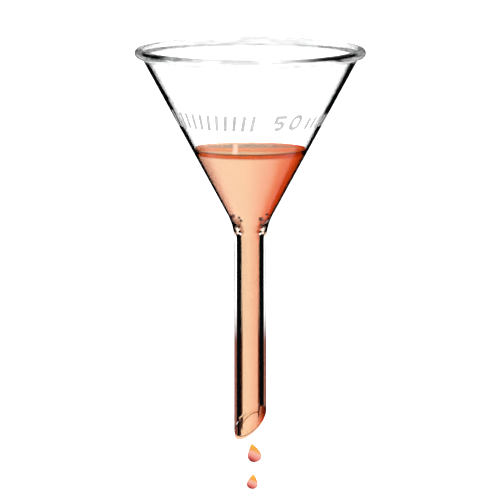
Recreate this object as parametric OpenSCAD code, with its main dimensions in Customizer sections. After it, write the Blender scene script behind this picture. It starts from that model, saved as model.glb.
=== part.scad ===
// Glass filter funnel, caught while it drains. Millimetres, +Z up.
// The origin is on the axis, at the top of the stem's straight wall.
// The view side of the funnel is -Y.

/* [Cone] */
// Outer diameter over the rim bead
rim_d = 50; // [46:1:70]
// Full angle of the cone's outer face
cone_angle = 57; // [54:1:62]
// Wall thickness just under the rim
wall_rim = 1; // [0.9:0.05:1.5]
// Wall thickness at the neck
wall_neck = 0.55; // [0.5:0.05:1.1]
// Diameter of the rolled rim bead
bead_d = 2; // [1.8:0.1:2.4]

/* [Stem] */
// Outer diameter of the stem
stem_d = 7; // [6.5:0.5:8]
// Bore of the stem
bore_d = 4; // [3.5:0.1:4.5]
// Stem length from the top of its straight wall to the tip's longest point
stem_len = 44; // [35:0.5:80]
// Slope of the tip's slanted cut, from level
tip_slope = 50; // [40:1:58]
// Direction that the short side of the tip faces, about the axis
tip_turn = -52; // [-180:1:180]
// Radius of the outer fillet where cone and stem are sealed together
neck_fillet = 12; // [10:0.5:14]

/* [Marks] */
// Height of the printed numerals and bars
mark_h = 3.5; // [2.5:0.1:4]
// Level of the middle of the marks, below the bead's centre
mark_drop = 13.6; // [12:0.1:15]
// Width of a printed stroke
stroke = 0.75; // [0.5:0.05:0.8]
// Sideways lean of the numerals and bars, per unit of height
slant = 0.2; // [0:0.05:0.3]
// Height of the fired enamel above the glass
enamel = 0.05; // [0.04:0.01:0.1]

/* [Liquid] */
// Level of the liquid, below the bead's centre
fill_drop = 21; // [19:0.5:24]
// Climb of the liquid up the glass at its edge
meniscus_h = 0.5; // [0.2:0.1:0.8]
// Width of the curved edge of the liquid's surface
meniscus_w = 1.5; // [1:0.1:2]

/* [Drops] */
// Width of the upper drop
upper_w = 3; // [2:0.1:3.2]
// Height of the upper drop
upper_h = 4.2; // [4:0.1:4.6]
// Width of the lower drop
lower_w = 2.4; // [1.8:0.1:2.8]
// Height of the lower drop
lower_h = 3.4; // [3.2:0.1:3.8]
// Gap below the stem's tip to the upper drop
upper_gap = 0.3; // [0.2:0.1:1]
// Gap between the two drops
drop_gap = 2.5; // [2:0.1:4]

/* [Hidden] */
$fn = 96;

GLASS = [0.86, 0.91, 0.91, 0.35];
ENAMEL = [0.88, 0.88, 0.87];
LIQUID = [0.97, 0.55, 0.30, 0.8];
GOLD = [0.96, 0.66, 0.36, 0.85];
// Steps in each rounded stretch of an outline
ARC_STEPS = 14;
// Angle between two printed bars, about the axis
BAR_PITCH = 6.9;

half = cone_angle / 2;
stem_r = stem_d / 2;
bore_r = bore_d / 2;
bead_r = bead_d / 2;
lip_r = wall_rim * 0.48;
lip_lift = 0.2;
bead_fillet = bead_r / 2;

// Where the cone's outer line would meet the stem's, above the fillet
vertex_z = neck_fillet * tan(half / 2);
bead_ring_r = rim_d / 2 - bead_r;
bead_z = vertex_z + (bead_ring_r - stem_r) / tan(half);
seal_top_z = vertex_z + vertex_z * cos(half);
rim_seam_z = bead_z - bead_d * 0.8;

// Radius of the cone's outer face, and of its inner one, at a height
function outer_r(z) = stem_r + (z - vertex_z) * tan(half);
function wall_across(z) = (wall_neck
    + (wall_rim - wall_neck) * (z - vertex_z) / (bead_z - vertex_z)) / cos(half);
function inner_r(z) = outer_r(z) - wall_across(z);
inner_slope = (inner_r(1) - inner_r(0));
inner_half = atan(inner_slope);
throat_z = (bore_r - inner_r(0)) / inner_slope;
throat_fillet = 3;
throat_reach = throat_fillet * tan(inner_half / 2);

level_z = bead_z - fill_drop;
cut_z = stem_r * tan(tip_slope) - stem_len;

// Points along an arc, from one angle to another
function arc(centre, r, from, to, steps = ARC_STEPS) =
    [for (i = [0:steps]) centre + r * [cos(from + (to - from) * i / steps),
        sin(from + (to - from) * i / steps)]];

// The rim in section: wall, rounded lip, bead and the small fillet under it
module rim_section() {
    bead_c = [bead_ring_r, bead_z];
    lip_z = bead_z + lip_lift;
    lip_c = [inner_r(lip_z) + lip_r / cos(inner_half), lip_z];
    along = bead_c - lip_c;
    over = atan2(along.y, along.x) + acos((lip_r - bead_r) / norm(along));
    reach = sqrt(pow(bead_r + bead_fillet, 2) - pow(bead_fillet, 2));
    fillet_c = bead_c - reach * [sin(half), cos(half)] + bead_fillet * [cos(half), -sin(half)];
    under = atan2(fillet_c.y - bead_c.y, fillet_c.x - bead_c.x);
    polygon(concat(
        [[inner_r(rim_seam_z), rim_seam_z]],
        arc(lip_c, lip_r, 180 - inner_half, over),
        arc(bead_c, bead_r, over, under, 2 * ARC_STEPS),
        arc(fillet_c, bead_fillet, under + 180, 180 - half),
        [[outer_r(rim_seam_z), rim_seam_z]]));
}

// Points on the neck's rounded throat, from the bore up to the cone
throat = arc([bore_r + throat_fillet, throat_z - throat_reach], throat_fillet,
    180, 180 - inner_half);

module cone_body() {
    color(GLASS)
    rotate_extrude()
    polygon([
        [inner_r(seal_top_z), seal_top_z],
        [outer_r(seal_top_z), seal_top_z],
        [outer_r(rim_seam_z), rim_seam_z],
        [inner_r(rim_seam_z), rim_seam_z]]);
}

module rim_bead() {
    color(GLASS)
    rotate_extrude()
    rim_section();
}

module neck_seal() {
    outside = arc([stem_r + neck_fillet, 0], neck_fillet, 180 - half, 180);
    color(GLASS)
    rotate_extrude()
    polygon(concat(
        [[bore_r, 0]],
        throat,
        [[inner_r(seal_top_z), seal_top_z]],
        outside));
}

// Everything below the slanted cut of the tip
module below_tip() {
    size = 4 * stem_d;
    translate([0, 0, cut_z])
    rotate([0, -tip_slope, tip_turn])
    translate([-size / 2, -size / 2, -size])
    cube(size);
}

module stem_tube() {
    slack = 1;
    color(GLASS)
    difference() {
        translate([0, 0, -stem_len])
        cylinder(h = stem_len, r = stem_r);
        translate([0, 0, -stem_len - slack])
        cylinder(h = stem_len + 2 * slack, r = bore_r);
        below_tip();
    }
}

// A flat shape laid on the cone: its middle at an angle round from the view side
module on_cone(turn) {
    mark_z = bead_z - mark_drop;
    rotate([90, 0, turn])
    translate([0, mark_z - mark_h / 2, outer_r(mark_z - mark_h)])
    linear_extrude(2 * mark_h)
    children();
}

// The thin layer of enamel that printed shapes are cut from
module enamel_layer() {
    low = bead_z - mark_drop - mark_h;
    high = bead_z - mark_drop + mark_h;
    rise = enamel / cos(half);
    rotate_extrude()
    polygon([
        [outer_r(low), low],
        [outer_r(low) + rise, low],
        [outer_r(high) + rise, high],
        [outer_r(high), high]]);
}

function stadium(w, h) = concat(
    arc([0, h / 2 - w / 2], w / 2, 0, 180),
    arc([0, w / 2 - h / 2], w / 2, 180, 360));

// Points leant sideways, the more the higher they are above the middle of the mark
function leant(points) = [for (p = points) [p.x + slant * (p.y - mark_h / 2), p.y]];

function box(x, y, w, h) = [[x, y], [x + w, y], [x + w, y + h], [x, y + h]];

function raised(points, by) = [for (p = points) [p.x, p.y + by]];

module bar(h) {
    polygon(leant(box(-stroke / 2, 0, stroke, h)));
}

module numeral_zero(w) {
    difference() {
        polygon(leant(raised(stadium(w, mark_h), mark_h / 2)));
        polygon(leant(raised(stadium(w - 2 * stroke, mark_h - 2 * stroke), mark_h / 2)));
    }
}

module numeral_five(w) {
    bowl_r = mark_h * 0.32;
    bowl_c = [0.02 * w, bowl_r];
    polygon(leant(box(-w / 2, mark_h - stroke, w * 0.92, stroke)));
    polygon(leant(box(-w / 2, mark_h * 0.48, stroke, mark_h * 0.5)));
    polygon(leant(concat(
        arc(bowl_c, bowl_r, -150, 145),
        arc(bowl_c, bowl_r - stroke, 145, -150))));
}

// The nominal size in millimetres, and low plain bars after it
module size_mark() {
    five_turn = 22.5;
    zero_turn = 36;
    bars_from = 49;
    bars = 5;
    width = mark_h * 0.8;
    color(ENAMEL)
    intersection() {
        enamel_layer();
        union() {
            on_cone(five_turn) numeral_five(width);
            on_cone(zero_turn) numeral_zero(width);
            for (i = [0:bars - 1])
                on_cone(bars_from + i * BAR_PITCH) bar(mark_h * 0.72);
        }
    }
}

// A row of plain upright bars, further round the same side
module bar_mark() {
    bars_from = -74;
    bars = 12;
    color(ENAMEL)
    intersection() {
        enamel_layer();
        for (i = [0:bars - 1])
            on_cone(bars_from + i * BAR_PITCH) bar(mark_h);
    }
}

// Liquid in the cone and down the whole stem, level on top, cut along the tip
module liquid() {
    edge_z = level_z + meniscus_h;
    shore_r = inner_r(edge_z) - meniscus_w;
    curve = [for (i = [0:ARC_STEPS]) [shore_r + meniscus_w * i / ARC_STEPS,
        level_z + meniscus_h * pow(i / ARC_STEPS, 3)]];
    color(LIQUID)
    difference() {
        rotate_extrude()
        polygon(concat(
            [[0, -stem_len], [bore_r, -stem_len]],
            throat,
            [for (i = [ARC_STEPS:-1:0]) curve[i]],
            [[0, level_z]]));
        below_tip();
    }
}

// A falling drop: round below, drawn to a small rounded point above.
// It stands on its lowest point and leans over by an angle.
module drop(w, h, lean) {
    round_r = w / 2;
    point_r = w * 0.06;
    span = h - round_r - point_r;
    flank = asin((round_r - point_r) / span);
    translate([0, 0, round_r])
    rotate([0, lean, 0])
    rotate_extrude()
    polygon(concat(
        arc([0, 0], round_r, -90, flank, 2 * ARC_STEPS),
        arc([0, span], point_r, flank, 90, 4)));
}

upper_z = -stem_len - upper_gap - upper_h;
lower_z = upper_z - drop_gap - lower_h;

module upper_drop() {
    off_axis = 0.9;
    lean = -13;
    color(GOLD)
    translate([off_axis, 0, upper_z])
    drop(upper_w, upper_h, lean);
}

module lower_drop() {
    off_axis = 0.45;
    lean = 8;
    color(GOLD)
    translate([off_axis, 0, lower_z])
    drop(lower_w, lower_h, lean);
}

cone_body();
rim_bead();
neck_seal();
stem_tube();
size_mark();
bar_mark();
liquid();
upper_drop();
lower_drop();
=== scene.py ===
from collections import namedtuple
from math import acos, atan, atan2, cos, hypot, pi, radians, sin, sqrt, tan

import bmesh
import bpy
from mathutils import Matrix, Vector


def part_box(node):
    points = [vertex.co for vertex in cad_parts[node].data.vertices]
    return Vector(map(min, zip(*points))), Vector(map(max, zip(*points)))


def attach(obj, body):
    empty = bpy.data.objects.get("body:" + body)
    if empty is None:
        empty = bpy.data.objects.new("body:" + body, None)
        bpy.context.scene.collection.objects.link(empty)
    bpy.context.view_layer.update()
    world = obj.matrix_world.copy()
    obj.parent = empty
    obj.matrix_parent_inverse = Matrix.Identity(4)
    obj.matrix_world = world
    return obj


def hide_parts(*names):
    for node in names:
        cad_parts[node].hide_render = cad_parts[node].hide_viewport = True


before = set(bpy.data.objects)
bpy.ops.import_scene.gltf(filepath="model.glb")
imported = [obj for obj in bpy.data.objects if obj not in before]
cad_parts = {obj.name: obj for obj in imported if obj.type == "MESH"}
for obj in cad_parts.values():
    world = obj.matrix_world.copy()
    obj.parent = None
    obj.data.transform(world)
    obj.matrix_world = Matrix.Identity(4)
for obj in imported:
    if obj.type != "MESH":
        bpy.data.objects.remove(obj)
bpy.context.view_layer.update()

MM = 0.001

# Sizes of the glass that the CAD boxes don't give, as in the CAD model
WALL_RIM = 1.0 * MM
WALL_NECK = 0.55 * MM
BEAD_R = 1.0 * MM
BORE_R = 2.0 * MM
NECK_FILLET = 12 * MM
THROAT_FILLET = 3 * MM
TIP_SLOPE = radians(50)
TIP_TURN = radians(-52)
MENISCUS_H = 0.5 * MM
MENISCUS_W = 1.5 * MM

# Detail that only the looks have
TIP_POLISH = 0.22 * MM  # rounding of the cut's inner edge
TIP_ROUND = 0.42 * MM  # rounding of the cut's outer edge
FILM = 0.02 * MM  # gap between glass and liquid
TIP_FILM = 0.3 * MM  # liquid that hangs under the cut, in its middle
EDGE_FILM = 0.08  # how much of that is left at its edge
HANG_MARGIN = 0.1 * MM  # dry margin of the cut
THIN_SIDE = 0.17 * MM  # what the wall loses at the left of the rim
THICK_SIDE = 0.1 * MM  # what the wall gains at the right of the rim
LIP_SHARE = 0.36  # radius of the inner lip, as a share of the wall
LIP_RISE = 0.62 * MM  # height of the lip's middle above the bead's
DROP_HOLLOW = 1.25  # how hollow a drop's shoulders are
# Drops: CAD node, body, how far it leans
DROPS = (("upper_drop", "falling_drop", radians(-13)), ("lower_drop", "leading_drop", radians(8)))
# Bubbles under the liquid: how far to the right, how high, radius
BUBBLES = [(x * MM, z * MM, r * MM) for x, z, r in (
    (-3.5, 5.7, 0.42), (-2.3, 5.5, 0.28), (-1.9, 4.8, 0.3), (-2.3, 3.3, 0.36),
    (2.2, 5.1, 0.5), (3.4, 6.1, 0.3), (2.4, 3.4, 0.4))]

# Fineness of the meshes
TURNS = 256
DROP_TURNS = 64
DROP_STEPS = 48
HANG_STEPS = 12
MENISCUS_STEPS = 16
WELD = 2e-8

# Colours of the glass: clear, with painted shade and the liquid's colour painted at its edges and its cut
CLEAR = (0.995, 0.998, 0.997, 1)
CLOUDY = (0.975, 0.988, 0.984, 1)
# Painted shade: the rim's colour dimmed to grey
RIM_GREY_SHADE = (0.64, 0.64, 0.64, 1)
# Painted shade: dark lines on the bead's view side
PAINTED_RIM_LINE = (0.004, 0.004, 0.004, 1)
# Painted shade on the glass's edges: grey on the stem, warm with the liquid's colour on the neck, red-brown
# low on the stem
STEM_EDGE_SHADE = (0.1, 0.1, 0.1, 1)
NECK_EDGE_SHADE = (0.5, 0.3, 0.2, 1)
RED_BROWN_SHADE = (0.04, 0.005, 0.0025, 1)
# Painted on the tip's cut: the liquid's colour seen through it, pale to orange, and painted shade in brown,
# black and at its corner
CUT_PALE = (0.98, 0.9, 0.8, 1)
CUT_ORANGE = (0.7, 0.18, 0.08, 1)
CUT_BROWN_SHADE = (0.07, 0.008, 0.004, 1)
CUT_BAND_SHADE = (0.003, 0.001, 0.001, 1)
CUT_CORNER_SHADE = (0.012, 0.002, 0.001, 1)

# Colours of the liquid: ramps have (position, colour) stops
# The liquid's orange with painted light and shade: pale pink at the left, dark orange-red at the right
BODY_AND_SHADE = (
    (0.04, (0.47, 0.22, 0.15)), (0.2, (0.455, 0.285, 0.18)), (0.36, (0.45, 0.285, 0.18)),
    (0.5, (0.45, 0.268, 0.167)), (0.65, (0.44, 0.217, 0.135)), (0.75, (0.44, 0.18, 0.105)),
    (0.84, (0.41, 0.085, 0.025)), (0.93, (0.39, 0.03, 0.003)))
# The liquid's surface with painted reflection and shade, dark grey at the far edge
SURFACE_AND_REFLECTION = (
    (0.1, (0.14, 0.11, 0.10)), (0.3, (0.40, 0.11, 0.04)), (0.54, (0.36, 0.06, 0.015)),
    (0.7, (0.27, 0.17, 0.10)), (1.0, (0.35, 0.22, 0.12)))
# A drop's colour with painted light and shade: near black and red below, a pale pink highlight in the middle,
# golden above
DROP = (
    (0.0, (0.02, 0.002, 0.002)), (0.13, (0.28, 0.03, 0.025)), (0.3, (0.42, 0.16, 0.13)),
    (0.47, (0.43, 0.25, 0.19)), (0.6, (0.43, 0.16, 0.03)), (0.8, (0.45, 0.23, 0.018)),
    (1.0, (0.44, 0.25, 0.10)))
# Painted highlight: a streak of reflected light on the liquid's surface
LIGHT_STREAK = (0.50, 0.36, 0.33, 1)
# Painted shade: the deep orange-red ring where the meniscus meets the wall
MENISCUS_SHADE = (0.26, 0.009, 0.0001, 1)
THIN_SKIN = (0.95, 0.93, 0.9, 1)
# Painted shade: bubbles dark against the bright liquid
BUBBLE = ((0.3, (0.10, 0.06, 0.05)), (0.7, (0.30, 0.22, 0.20)))
ENAMEL = ((0.3, (0.24, 0.24, 0.24)), (0.5, (0.30, 0.30, 0.30)), (0.7, (0.36, 0.36, 0.36)))
FLOOR = ((0.3, (0.90, 0.90, 0.90)), (0.7, (0.94, 0.94, 0.94)))

# How much the glass bends light: most of it, how much less under the liquid, and at the tip's cut
GLASS_INDEX = 1.47
UNDER_LIQUID = -0.05
CUT_INDEX = 1.04

# Studio and camera
STUDIO = 2.2  # brightness
CARD_LOW, CARD_HIGH = 0.18, 0.5  # where the dark cards end and full light begins
MIRROR_LOSS = 0.96  # share that mirrored light loses
AIM = Vector((-0.06 * MM, 0, -2.1 * MM))
ELEVATION = radians(7.3)
DISTANCE = 2.2
PICTURE_WIDTH = 108.2 * MM  # what the picture spans at the distance of the aim
SENSOR = 36
FLOOR_SIZE = 40
FLOOR_Z = -0.3
BOUNCES = 32
GLOSSY_BOUNCES = 12

Place = namedtuple("Place", "point x y z r")
Tip = namedtuple("Tip", "cut outer face through left short_side sides")


def cad_line():
    """The cone's outer face, as radius at z = 0 and radius gained per metre of height."""
    neck_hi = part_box("neck_seal")[1]
    cone_lo, cone_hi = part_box("cone_body")
    slope = (cone_hi.x - neck_hi.x) / (cone_hi.z - cone_lo.z)
    return cone_hi.x - slope * cone_hi.z, slope


STEM_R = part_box("stem_tube")[1].x
TIP_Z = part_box("stem_tube")[0].z
RIM_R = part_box("rim_bead")[1].x
SEAM_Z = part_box("rim_bead")[0].z
OUTER_R0, SLOPE = cad_line()
HALF = atan(SLOPE)
VERTEX_Z = (STEM_R - OUTER_R0) / SLOPE
BEAD_RING_R = RIM_R - BEAD_R
BEAD_Z = (BEAD_RING_R - OUTER_R0) / SLOPE
CUT_Z = TIP_Z + STEM_R * tan(TIP_SLOPE)
LEVEL_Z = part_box("liquid")[1].z - MENISCUS_H


def outer_r(z):
    """Radius of the cone's outer face."""
    return OUTER_R0 + SLOPE * z


def inner_r(z):
    """Radius of the cone's inner face in the CAD model."""
    share = (z - VERTEX_Z) / (BEAD_Z - VERTEX_Z)
    return outer_r(z) - (WALL_NECK + (WALL_RIM - WALL_NECK) * share) / cos(HALF)


INNER_SLOPE = (inner_r(BEAD_Z) - inner_r(VERTEX_Z)) / (BEAD_Z - VERTEX_Z)
INNER_HALF = atan(INNER_SLOPE)
THROAT_Z = VERTEX_Z + (BORE_R - inner_r(VERTEX_Z)) / INNER_SLOPE


def worked_inner_r(z, turn):
    """Radius of the inner face as it was blown: off centre, so that the wall is thicker on the right."""
    share = max((z - THROAT_Z) / (BEAD_Z - THROAT_Z), 0)
    right = (1 + cos(turn)) / 2
    return inner_r(z) + share * (THIN_SIDE * (1 - right) - THICK_SIDE * right)


def arc(centre, r, start, end, steps):
    """Points round an arc, angles in radians. A guard point next to each end keeps the shading true there."""
    guard = 0.01 / steps
    shares = [0, guard] + [i / steps for i in range(1, steps)] + [1 - guard, 1]
    angles = [start + (end - start) * s for s in shares]
    return [(centre[0] + r * cos(a), centre[1] + r * sin(a)) for a in angles]


def cut_height(r, turn):
    """Height of the tip's slanted cut at a radius and an angle about the axis."""
    return CUT_Z + tan(TIP_SLOPE) * r * cos(turn - TIP_TURN)


def corner(before, at, after, r, steps):
    """An arc of radius r that rounds the corner at a point between two straight lines."""
    u = Vector(before) - Vector(at)
    v = Vector(after) - Vector(at)
    u.normalize()
    v.normalize()
    half = u.angle(v) / 2
    centre = Vector(at) + (u + v).normalized() * (r / sin(half))
    start = Vector(at) + u * (r / tan(half)) - centre
    end = Vector(at) + v * (r / tan(half)) - centre
    a, b = atan2(start.y, start.x), atan2(end.y, end.x)
    b = a + (b - a + pi) % (2 * pi) - pi
    return arc(centre, r, a, b, steps)


def throat(film):
    """The rounded throat from the bore up to the cone's inner face, drawn in by a film's width."""
    reach = THROAT_FILLET * tan(INNER_HALF / 2)
    centre = (BORE_R + THROAT_FILLET, THROAT_Z - reach)
    return arc(centre, THROAT_FILLET + film, pi, pi - INNER_HALF, 24)


def outer_offset(point):
    """How far a point of the section lies outside the cone's outer face."""
    return (point[0] - outer_r(point[1])) * cos(HALF)


def waves(turn, *terms):
    """Sum of waves round the axis, each given as height, count and start."""
    return sum(height * sin(count * turn + start) for height, count, start in terms)


def rim_outline(turn):
    """The rim from the inner face over the lip and the bead to the outer face, rolled by hand."""
    bead_r = BEAD_R * (0.97 + waves(turn, (0.02, 2, 0.6), (0.01, 5, 2.1)))
    lip_r = WALL_RIM * (LIP_SHARE + waves(turn, (0.02, 3, 1.3)))
    lip_z = BEAD_Z + LIP_RISE + waves(turn, (0.03 * MM, 2, 0.3), (0.015 * MM, 7, 0))
    fillet = bead_r / 2
    lip_c = (worked_inner_r(lip_z, turn) + lip_r / cos(INNER_HALF), lip_z)
    bead_c = (RIM_R - bead_r, BEAD_Z)
    dx, dz = bead_c[0] - lip_c[0], bead_c[1] - lip_c[1]
    over = atan2(dz, dx) + acos((lip_r - bead_r) / hypot(dx, dz))
    rise = outer_offset(bead_c)
    along = sqrt((bead_r + fillet) ** 2 - (fillet - rise) ** 2)
    under_c = (bead_c[0] - along * sin(HALF) + (fillet - rise) * cos(HALF),
               bead_c[1] - along * cos(HALF) - (fillet - rise) * sin(HALF))
    under = atan2(under_c[1] - bead_c[1], under_c[0] - bead_c[0])
    return (arc(lip_c, lip_r, pi - INNER_HALF, over, 12)
            + arc(bead_c, bead_r, over, under, 40)
            + arc(under_c, fillet, under + pi, pi - HALF, 10))


def glass_outline(turn):
    """Section of the whole glass at an angle about the axis: from the tip up inside, and down outside."""
    tip_in = (BORE_R, cut_height(BORE_R, turn))
    tip_out = (STEM_R, cut_height(STEM_R, turn))
    above_in, above_out = (BORE_R, 0), (STEM_R, 0)
    neck = arc((STEM_R + NECK_FILLET, 0), NECK_FILLET, pi - HALF, pi, 32)
    return (corner(tip_out, tip_in, above_in, TIP_POLISH, 6)
            + throat(0)
            + rim_outline(turn)
            + neck
            + corner(above_out, tip_out, tip_in, TIP_ROUND, 10))


def lathe(name, outline, turns=TURNS):
    """A closed solid swept about the Z axis from an outline that may change with the angle."""
    mesh = bmesh.new()
    rings = []
    for i in range(turns):
        turn = 2 * pi * i / turns
        rings.append([mesh.verts.new((r * cos(turn), r * sin(turn), z)) for r, z in outline(turn)])
    count = len(rings[0])
    on_axis = rings[0][0].co.xy.length < WELD and rings[0][-1].co.xy.length < WELD
    for i, ring in enumerate(rings):
        following = rings[(i + 1) % turns]
        for j in range(count - 1 if on_axis else count):
            k = (j + 1) % count
            mesh.faces.new((ring[j], following[j], following[k], ring[k]))
    return finish_mesh(name, mesh)


def finish_mesh(name, mesh):
    """Welds the poles, turns the faces outwards and links the mesh as an object."""
    bmesh.ops.remove_doubles(mesh, verts=mesh.verts, dist=WELD)
    bmesh.ops.recalc_face_normals(mesh, faces=mesh.faces)
    for face in mesh.faces:
        face.smooth = True
    data = bpy.data.meshes.new(name)
    mesh.to_mesh(data)
    mesh.free()
    piece = bpy.data.objects.new(name, data)
    bpy.context.scene.collection.objects.link(piece)
    return piece


def liquid_outline(turn):
    """Section of the liquid, a film's width inside the glass: axis, tip, wall, meniscus and level top."""
    bore = BORE_R - FILM
    edge_z = LEVEL_Z + MENISCUS_H
    edge_r = worked_inner_r(edge_z, turn) - FILM / cos(INNER_HALF)
    meniscus = []
    for i in range(MENISCUS_STEPS + 1):
        share = i / MENISCUS_STEPS
        meniscus.append((edge_r - MENISCUS_W * share, LEVEL_Z + MENISCUS_H * (1 - share) ** 3))
    spread = STEM_R - HANG_MARGIN
    hanging = []
    for i in range(HANG_STEPS + 1):
        share = i / HANG_STEPS
        sag = TIP_FILM * (1 + EDGE_FILM - share ** 2)
        hanging.append((spread * share, cut_height(spread * share, turn) - FILM - sag))
    return (hanging
            + [(spread, cut_height(spread, turn) - FILM), (bore, cut_height(bore, turn) - FILM)]
            + throat(FILM)
            + meniscus
            + [(r * edge_r, LEVEL_Z) for r in (0.8, 0.5, 0.2, 0)])


def drop_outline(half_w, height):
    """A teardrop's section from its lowest point up to its tip."""
    widest = 2 * acos(1 / sqrt(2 + DROP_HOLLOW))
    scale = half_w / (sin(widest) * sin(widest / 2) ** DROP_HOLLOW)
    points = []
    for i in range(DROP_STEPS + 1):
        t = pi * (1 - i / DROP_STEPS)
        r = scale * sin(t) * sin(t / 2) ** DROP_HOLLOW if 0 < i < DROP_STEPS else 0
        points.append((r, height * (1 + cos(t)) / 2))
    return points


def make_drop(name, node, lean):
    """A drop in the place of its CAD node, standing on its lowest point and leaning about Y."""
    low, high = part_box(node)
    half_w = (high.y - low.y) / 2
    middle = Vector((high.x - half_w if lean < 0 else low.x + half_w, 0, low.z + half_w))
    height = half_w + (high.z - middle.z) / cos(lean)
    piece = lathe(name, lambda turn: drop_outline(half_w, height), DROP_TURNS)
    stand = Matrix.Translation(middle) @ Matrix.Rotation(lean, 4, "Y") @ Matrix.Translation((0, 0, -half_w))
    piece.data.transform(stand)
    return piece


def make_bubbles():
    """Small bubbles that cling to the glass round the throat, under the liquid, on the view side."""
    mesh = bmesh.new()
    for x, z, r in BUBBLES:
        reach = inner_r(z) - r - FILM
        y = -sqrt(max(reach ** 2 - x ** 2, 0))
        bmesh.ops.create_icosphere(mesh, subdivisions=3, radius=r, matrix=Matrix.Translation((x, y, z)))
    return finish_mesh("throat_bubbles", mesh)


def put(tree, kind, inputs=(), out=0, **settings):
    """Adds a node and gives back its output. An input is a plain value or another node's output."""
    node = tree.nodes.new(kind)
    for name, value in settings.items():
        setattr(node, name, value)
    for i, value in dict(inputs).items():
        if isinstance(value, bpy.types.NodeSocket):
            tree.links.new(value, node.inputs[i])
        else:
            node.inputs[i].default_value = value
    return node.outputs[out]


def calc(tree, operation, *values):
    return put(tree, "ShaderNodeMath", enumerate(values), operation=operation)


def times(tree, first, *others):
    """Product of values."""
    for value in others:
        first = calc(tree, "MULTIPLY", first, value)
    return first


def rest_of(tree, share):
    """What a share leaves of 1."""
    return calc(tree, "SUBTRACT", 1.0, share)


def away(tree, value, middle):
    """How far a value is from a middle one."""
    return calc(tree, "ABSOLUTE", calc(tree, "SUBTRACT", value, middle))


def ramp(tree, factor, stops):
    """A smooth colour ramp from (position, colour) stops."""
    colour = put(tree, "ShaderNodeValToRGB", {0: factor})
    elements = colour.node.color_ramp.elements
    while len(elements) < len(stops):
        elements.new(0.5)
    for element, (position, rgb) in zip(elements, stops):
        element.position = position
        element.color = (*rgb, 1)
    return colour


def remap(tree, value, low, high, to_low=0.0, to_high=1.0):
    """A smooth step of a value, from one pair of limits to another."""
    return put(tree, "ShaderNodeMapRange", {0: value, 1: low, 2: high, 3: to_low, 4: to_high},
               interpolation_type="SMOOTHSTEP")


def mm_step(tree, value, low, high, to_low=0.0, to_high=1.0):
    """A smooth step of a length, whose limits low and high are given in millimetres."""
    return remap(tree, value, low * MM, high * MM, to_low, to_high)


def blend(tree, factor, first, second, how="MIX"):
    return put(tree, "ShaderNodeMix", {0: factor, 6: first, 7: second}, 2, data_type="RGBA", blend_type=how)


def noise(tree, place, scale, detail=2.0):
    return put(tree, "ShaderNodeTexNoise", {0: place, 2: scale, 3: detail})


def object_point(tree):
    return put(tree, "ShaderNodeTexCoord", out=3)


def object_place(tree):
    """Object coordinates, whole and split into X, Y and Z, and the distance from the Z axis."""
    point = object_point(tree)
    x = put(tree, "ShaderNodeSeparateXYZ", {0: point})
    y, z = x.node.outputs[1], x.node.outputs[2]
    flat = put(tree, "ShaderNodeCombineXYZ", {0: x, 1: y})
    r = put(tree, "ShaderNodeVectorMath", {0: flat}, 1, operation="LENGTH")
    return Place(point, x, y, z, r)


def stretched(tree, place, scale):
    return put(tree, "ShaderNodeMapping", {0: place, 3: scale})


def principled(name, **plain):
    """A new material, its node tree, and its shader with the plain values set."""
    material = bpy.data.materials.new(name)
    material.use_nodes = True
    tree = material.node_tree
    shader = tree.nodes["Principled BSDF"]
    for socket, value in plain.items():
        shader.inputs[socket.replace("_", " ")].default_value = value
    return material, tree, shader


def wire(tree, shader, **outputs):
    for socket, output in outputs.items():
        tree.links.new(output, shader.inputs[socket.replace("_", " ")])


def bump(tree, height, distance, strength=1.0):
    return put(tree, "ShaderNodeBump", {0: strength, 1: distance, 3: height})


def inner_reach(tree, z, beyond=0.0):
    """Radius of the glass's inner face at a height, up to the liquid's level, and a little beyond."""
    return put(tree, "ShaderNodeMapRange", {0: z, 1: THROAT_Z, 2: LEVEL_Z, 3: BORE_R + beyond,
                                            4: inner_r(LEVEL_Z) + beyond})


def above_cut(tree, x, y, z):
    """Height above the tip's slanted cut."""
    along = calc(tree, "MULTIPLY_ADD", y, sin(TIP_TURN), calc(tree, "MULTIPLY", x, cos(TIP_TURN)))
    return calc(tree, "SUBTRACT", z, calc(tree, "MULTIPLY_ADD", along, tan(TIP_SLOPE), CUT_Z))


def tip_masks(tree, at):
    """The height above the cut, and masks from 0 to 1 round the tip.

    outer: the stem's outer wall. face: the cut's own face. through: what the view side (-Y) sees
    through the cut. left, short_side: its left edge, its right part. sides: both edges seen through.
    """
    cut = above_cut(tree, at.x, at.y, at.z)
    outer = calc(tree, "GREATER_THAN", at.r, STEM_R - 0.08 * MM)
    face = times(tree, mm_step(tree, cut, 0.7, 0.3), rest_of(tree, outer))
    depth = calc(tree, "MULTIPLY_ADD", calc(tree, "MULTIPLY", at.x, at.x), -1.0, STEM_R ** 2)
    front_y = calc(tree, "MULTIPLY", calc(tree, "SQRT", calc(tree, "MAXIMUM", depth, 0.0)), -1.0)
    through = mm_step(tree, above_cut(tree, at.x, front_y, at.z), 0.15, -0.15)
    left = mm_step(tree, at.x, -2.7, -2.9)
    sides = times(tree, through, calc(tree, "ADD", mm_step(tree, at.x, 1.8, 2.2), left))
    return Tip(cut, outer, face, through, left, mm_step(tree, at.x, 1, 3), sides)


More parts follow.
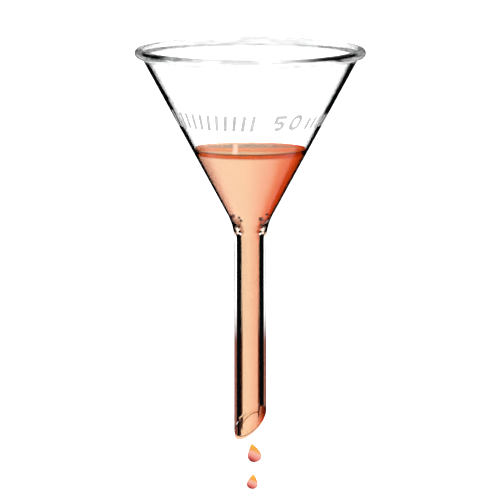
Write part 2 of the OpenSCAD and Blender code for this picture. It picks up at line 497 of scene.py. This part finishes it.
def tip_layers(tree, at, tip):
    """Masks and painted tints of the cut: the liquid's colour painted on its face, pale at the left and
    orange darkening to brown with height at the right, and painted shade on its left edge, in the stem's dark
    band on it and at its outer corner.
    """
    right = blend(tree, remap(tree, at.z, CUT_Z + 0.5 * MM, CUT_Z + 2.2 * MM), CUT_ORANGE, CUT_BROWN_SHADE)
    band = times(tree, mm_step(tree, away(tree, at.x, -2.4 * MM), 0.5, 0.38),
                 remap(tree, at.z, CUT_Z - 3.3 * MM, CUT_Z - 2.9 * MM))
    corner_edge = times(tree, remap(tree, at.r, STEM_R - 0.26 * MM, STEM_R - 0.18 * MM),
                        mm_step(tree, tip.cut, 0.34, 0.28), mm_step(tree, away(tree, at.x, 0.0), 1.7, 1.9))
    return ((tip.face, blend(tree, tip.short_side, CUT_PALE, right)),
            (times(tree, tip.face, tip.left), RED_BROWN_SHADE),
            (times(tree, tip.face, band), CUT_BAND_SHADE),
            (corner_edge, CUT_CORNER_SHADE))


def stem_layers(tree, at, tip):
    """Masks and tints of painted shade on the stem's edges, grey above and red-brown below, and warm with the
    liquid's colour on the neck.
    """
    facing = put(tree, "ShaderNodeLayerWeight", {0: 0.5}, 1)
    low = mm_step(tree, at.z, -6, -22)
    dry = calc(tree, "MAXIMUM", tip.outer, mm_step(tree, tip.cut, 0.3, 0.7))
    side = times(tree, remap(tree, facing, 0.36, 0.48), dry, rest_of(tree, tip.sides))
    neck = times(tree, mm_step(tree, at.z, 0.6, 1.4), mm_step(tree, at.z, 5.4, 4))
    high = times(tree, mm_step(tree, at.z, 1, -1), rest_of(tree, low))
    return ((times(tree, low, side), RED_BROWN_SHADE),
            (times(tree, neck, remap(tree, facing, 0.16, 0.3)), NECK_EDGE_SHADE),
            (times(tree, high, remap(tree, facing, 0.5, 0.7, 0.0, 0.92)), STEM_EDGE_SHADE))


def painted_rim_lines(tree, at):
    """Mask of two painted dark lines of shade on the bead's view side: a long one at the right, a short one
    at the left.
    """
    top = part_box("rim_bead")[1].z
    height = mm_step(tree, away(tree, at.z, top - 0.42 * MM), 0.4, 0.2)
    right = times(tree, mm_step(tree, at.x, 6, 16), mm_step(tree, at.x, 23.4, 22.4))
    left = times(tree, mm_step(tree, at.x, -18, -20), mm_step(tree, at.x, -23.6, -23))
    view_side = calc(tree, "LESS_THAN", at.y, -2 * MM)
    outside = calc(tree, "GREATER_THAN", at.r, 23.9 * MM)
    return times(tree, height, calc(tree, "ADD", left, right), view_side, outside)


def glass_colour(tree, at, tip, rim):
    """Clear, a little cloudy, with painted grey shade on the rim and every painted shade and tint laid over
    that.
    """
    clear = blend(tree, noise(tree, at.point, 90), CLEAR, CLOUDY)
    # painted grey shade on the rim
    colour = blend(tree, rim, clear, RIM_GREY_SHADE, "MULTIPLY")
    layers = (*stem_layers(tree, at, tip), *tip_layers(tree, at, tip), (painted_rim_lines(tree, at), PAINTED_RIM_LINE))
    for mask, tint in layers:
        colour = blend(tree, mask, colour, tint)
    return colour


def glass_clarity(tree, at, tip, rim):
    """Share of light that passes: all of it but for a streaky diffuse share on the rim, a painted lift in
    place of blurred studio reflections, and a diffuse share on the cut's short side.
    """
    off_centre = away(tree, at.x, 0.0)
    streaks = remap(tree, noise(tree, stretched(tree, at.point, (1, 1, 5)), 220), 0.4, 0.62, 0.0, 0.24)
    middle = mm_step(tree, off_centre, 20, 7, 0.0, 0.5)
    ends = mm_step(tree, off_centre, 20, 23, 0.0, 0.14)
    # painted lift on the rim, standing in for blurred studio reflections
    reflection_lift = times(tree, rim, calc(tree, "ADD", ends, calc(tree, "ADD", streaks, middle)))
    glow = times(tree, tip.face, tip.short_side, 0.4)
    return calc(tree, "SUBTRACT", rest_of(tree, reflection_lift), glow)


def glass_index(tree, at, tip):
    """How much the glass bends light: a little less under the liquid, hardly at the cut and behind it."""
    inside = calc(tree, "LESS_THAN", at.r, inner_reach(tree, at.z, 0.3 * MM))
    under = times(tree, mm_step(tree, at.z, 0, 2), remap(tree, at.z, LEVEL_Z, LEVEL_Z - 0.5 * MM))
    index = calc(tree, "MULTIPLY_ADD", times(tree, inside, under), UNDER_LIQUID, GLASS_INDEX)
    view_side = calc(tree, "LESS_THAN", at.y, 0.0)
    bore = calc(tree, "LESS_THAN", at.r, BORE_R + 0.3 * MM)
    near_bore = times(tree, view_side, mm_step(tree, at.x, -2.1, -1.9), bore, tip.through)
    faint = calc(tree, "MAXIMUM", near_bore, tip.sides)
    faint = calc(tree, "MAXIMUM", faint, mm_step(tree, tip.cut, 0.12, 0.04))
    faint = times(tree, faint, rest_of(tree, times(tree, tip.outer, view_side)))
    return put(tree, "ShaderNodeMix", {0: faint, 2: index, 3: CUT_INDEX})


def glass_material():
    """Clear borosilicate with draw lines along the wall and faint smears."""
    material, tree, shader = principled("clear_glass", Specular_Tint=(0.2, 0.2, 0.2, 1))
    at = object_place(tree)
    tip = tip_masks(tree, at)
    rim = remap(tree, at.z, SEAM_Z, SEAM_Z + 0.8 * MM)
    smears = noise(tree, stretched(tree, at.point, (1, 1, 0.5)), 150, 4)
    striae = noise(tree, stretched(tree, at.point, (1, 1, 0.12)), 420, 1)
    wire(tree, shader,
         Base_Color=glass_colour(tree, at, tip, rim),
         Roughness=remap(tree, smears, 0.52, 0.8, 0.0, 0.05),
         Normal=bump(tree, striae, 0.012 * MM),
         Transmission_Weight=glass_clarity(tree, at, tip, rim),
         IOR=glass_index(tree, at, tip))
    return material


def liquid_body(tree, at, reach, cloud):
    """Colour in the liquid's depth, orange with painted light and shade across it: pink at the left, peach in
    the middle, deepening to orange-red at the right.
    """
    calm = mm_step(tree, at.z, -1, 3, 0.55, 1.0)
    across = times(tree, calc(tree, "DIVIDE", at.x, reach), calm)
    wavering = calc(tree, "MULTIPLY_ADD", cloud, 0.16, calc(tree, "MULTIPLY_ADD", across, 0.5, 0.42))
    return ramp(tree, wavering, BODY_AND_SHADE)


def liquid_surface(tree, at):
    """Colour of the level surface from its far edge to its near one, with painted reflection and shade, and a
    painted upright streak of reflected light.
    """
    depth = remap(tree, at.y, inner_r(LEVEL_Z), -inner_r(LEVEL_Z))
    streak = mm_step(tree, away(tree, at.x, -3.3 * MM), 0.75, 0.25)
    return blend(tree, streak, ramp(tree, depth, SURFACE_AND_REFLECTION), LIGHT_STREAK)


def meniscus_shade_mask(tree, at, at_wall):
    """Mask of the painted shade at the meniscus: a deep orange-red ring at the wall, strongest on the view
    side.
    """
    height = times(tree, remap(tree, at.z, LEVEL_Z - 1.05 * MM, LEVEL_Z - 0.5 * MM),
                   remap(tree, at.z, LEVEL_Z + 0.4 * MM, LEVEL_Z + 0.1 * MM))
    return times(tree, height, at_wall, mm_step(tree, at.y, 3, -2, 0.1, 1.0))


def liquid_skin(tree, at):
    """Mask of the liquid's skin over the upper half of the cut, where the liquid behind it is seen too."""
    beyond_bore = calc(tree, "GREATER_THAN", at.r, BORE_R + 0.34 * MM)
    upper_half = remap(tree, at.z, CUT_Z - 0.6 * MM, CUT_Z + 0.2 * MM)
    at_tip = mm_step(tree, at.z, -30, -32)
    return times(tree, beyond_bore, upper_half, at_tip, mm_step(tree, away(tree, at.x, 0.0), 1.85, 1.65))


def liquid_material():
    """Orange liquid that bends light hardly at all."""
    material, tree, shader = principled("orange_liquid", Transmission_Weight=1.0)
    at = object_place(tree)
    reach = inner_reach(tree, at.z)
    cloud = noise(tree, stretched(tree, at.point, (1, 1, 0.3)), 160)
    at_wall = mm_step(tree, calc(tree, "SUBTRACT", reach, at.r), 0.35, 0.15)
    high = remap(tree, at.z, LEVEL_Z - 0.45 * MM, LEVEL_Z - 0.1 * MM)
    on_top = times(tree, high, rest_of(tree, at_wall))
    colour = blend(tree, on_top, liquid_body(tree, at, reach, cloud), liquid_surface(tree, at))
    colour = blend(tree, liquid_skin(tree, at), colour, THIN_SKIN)
    # painted shade of the meniscus ring
    colour = blend(tree, meniscus_shade_mask(tree, at, at_wall), colour, MENISCUS_SHADE)
    ripple = noise(tree, at.point, 300, 1)
    wire(tree, shader,
         Base_Color=colour,
         Roughness=remap(tree, cloud, 0.3, 0.8, 0.0, 0.03),
         Normal=bump(tree, ripple, 0.01 * MM),
         IOR=remap(tree, at.z, LEVEL_Z - 0.3 * MM, LEVEL_Z - 0.1 * MM, 1.01, 1.0005))
    return material


def drop_material():
    """A falling drop, golden above, with a painted pale pink highlight in the middle and painted shade below,
    red deepening to near black at the lower left.
    """
    material, tree, shader = principled("amber_drop", IOR=1.15, Transmission_Weight=1.0)
    place = put(tree, "ShaderNodeTexCoord", out=0)
    x = put(tree, "ShaderNodeSeparateXYZ", {0: place})
    z = x.node.outputs[2]
    cloud = noise(tree, place, 3)
    height = calc(tree, "MULTIPLY_ADD", x, 0.3, calc(tree, "MULTIPLY_ADD", cloud, 0.16, z))
    colour = ramp(tree, calc(tree, "SUBTRACT", height, 0.23), DROP)
    roughness = remap(tree, cloud, 0.3, 0.8, 0.0, 0.04)
    wire(tree, shader, Base_Color=colour, Roughness=roughness, Normal=bump(tree, cloud, 0.02 * MM))
    return material


def bubble_material():
    """A bubble's thin skin, with painted shade: its dark look against the bright liquid is painted into its
    colour.
    """
    material, tree, shader = principled("bubble_skin", IOR=1.33, Transmission_Weight=1.0)
    cloud = noise(tree, object_point(tree), 2500)
    wire(tree, shader, Base_Color=ramp(tree, cloud, BUBBLE), Roughness=remap(tree, cloud, 0.3, 0.7, 0.0, 0.1))
    return material


def enamel_material():
    """Fired white enamel: grainy, worn a little thin in places."""
    material, tree, shader = principled("fired_enamel", IOR=1.5)
    place = object_point(tree)
    grain = noise(tree, place, 2500, 3)
    wear = noise(tree, place, 500, 2)
    shade = calc(tree, "MULTIPLY_ADD", grain, 0.4, calc(tree, "MULTIPLY", wear, 0.6))
    roughness = remap(tree, grain, 0.3, 0.7, 0.45, 0.75)
    wire(tree, shader, Base_Color=ramp(tree, shade, ENAMEL), Roughness=roughness,
         Normal=bump(tree, grain, 0.02 * MM))
    return material


def dress(piece, body, slot, material, *nodes):
    """Gives a piece its body, its material and the CAD nodes that it replaces. Its slot is not used."""
    piece.data.materials.clear()
    piece.data.materials.append(material)
    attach(piece, body)
    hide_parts(*nodes)


def make_world():
    """An even white studio.

    Light that was reflected inside the glass sees black cards at eye level, tallest at the corners.
    Light that a surface mirrors sees the studio dimmed.
    """
    world = bpy.data.worlds.new("studio")
    bpy.context.scene.world = world
    world.use_nodes = True
    tree = world.node_tree
    back = tree.nodes["Background"]
    back.inputs["Color"].default_value = (1, 1, 1, 1)
    direction = put(tree, "ShaderNodeTexCoord", out=0)
    x = put(tree, "ShaderNodeSeparateXYZ", {0: direction})
    y, z = x.node.outputs[1], x.node.outputs[2]
    height = calc(tree, "ABSOLUTE", z)
    corner_card = calc(tree, "ABSOLUTE", calc(tree, "MULTIPLY", x, y))
    light = remap(tree, calc(tree, "SUBTRACT", height, corner_card), CARD_LOW, CARD_HIGH, 0.001, 1.0)
    path = put(tree, "ShaderNodeLightPath").node.outputs
    bounced = calc(tree, "GREATER_THAN", path["Glossy Depth"], 0.5)
    mirrored = calc(tree, "SUBTRACT", path["Is Reflection Ray"], path["Is Diffuse Ray"])
    light = calc(tree, "MULTIPLY", light, calc(tree, "MULTIPLY_ADD", mirrored, -MIRROR_LOSS, 1.0))
    level = calc(tree, "MULTIPLY_ADD", bounced, calc(tree, "SUBTRACT", light, 1.0), 1.0)
    tree.links.new(calc(tree, "MULTIPLY", level, STUDIO), back.inputs["Strength"])


def make_camera():
    """A long lens from a little above, as in the photo."""
    data = bpy.data.cameras.new("camera")
    data.sensor_width = SENSOR
    data.lens = SENSOR * DISTANCE / PICTURE_WIDTH
    data.clip_start, data.clip_end = 0.1, 100
    camera = bpy.data.objects.new("camera", data)
    bpy.context.scene.collection.objects.link(camera)
    outward = Vector((0, -cos(ELEVATION), sin(ELEVATION)))
    camera.location = AIM + outward * DISTANCE
    camera.rotation_euler = (-outward).to_track_quat("-Z", "Y").to_euler()
    bpy.context.scene.camera = camera


def make_floor():
    """A plain pale floor, far below."""
    mesh = bmesh.new()
    bmesh.ops.create_grid(mesh, x_segments=1, y_segments=1, size=FLOOR_SIZE / 2)
    floor = finish_mesh("floor", mesh)
    floor.location.z = FLOOR_Z
    material, tree, shader = principled("pale_floor")
    cloud = noise(tree, object_point(tree), 3, 4)
    wire(tree, shader, Base_Color=ramp(tree, cloud, FLOOR), Roughness=remap(tree, cloud, 0.3, 0.7, 0.8, 0.95))
    floor.data.materials.append(material)
    floor.visible_transmission = False
    floor.visible_glossy = False


def make_pieces():
    """The fused glass, the liquid, the bubbles and the two drops."""
    glass = lathe("funnel_glass", glass_outline)
    dress(glass, "funnel", "clear_glass", glass_material(), "cone_body", "rim_bead", "neck_seal", "stem_tube")
    liquid = lathe("liquid_fill", liquid_outline)
    dress(liquid, "funnel", "orange_liquid", liquid_material(), "liquid")
    bubbles = make_bubbles()
    bubbles.data.materials.append(bubble_material())
    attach(bubbles, "funnel")
    for node, body, lean in DROPS:
        drop = make_drop(f"{node}_shape", node, lean)
        dress(drop, body, "amber_drop", drop_material(), node)


def paint_marks():
    """The CAD's own printed marks, in enamel."""
    enamel = enamel_material()
    for name in ("size_mark", "bar_mark"):
        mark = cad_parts[name]
        mark.data.materials.clear()
        mark.data.materials.append(enamel)


def set_up_scene():
    """Plain colours on the screen, and enough bounces for glass within glass."""
    scene = bpy.context.scene
    scene.view_settings.view_transform = "Standard"
    scene.cycles.max_bounces = BOUNCES
    scene.cycles.transmission_bounces = BOUNCES
    scene.cycles.glossy_bounces = GLOSSY_BOUNCES


make_pieces()
paint_marks()
make_world()
make_camera()
make_floor()
set_up_scene()
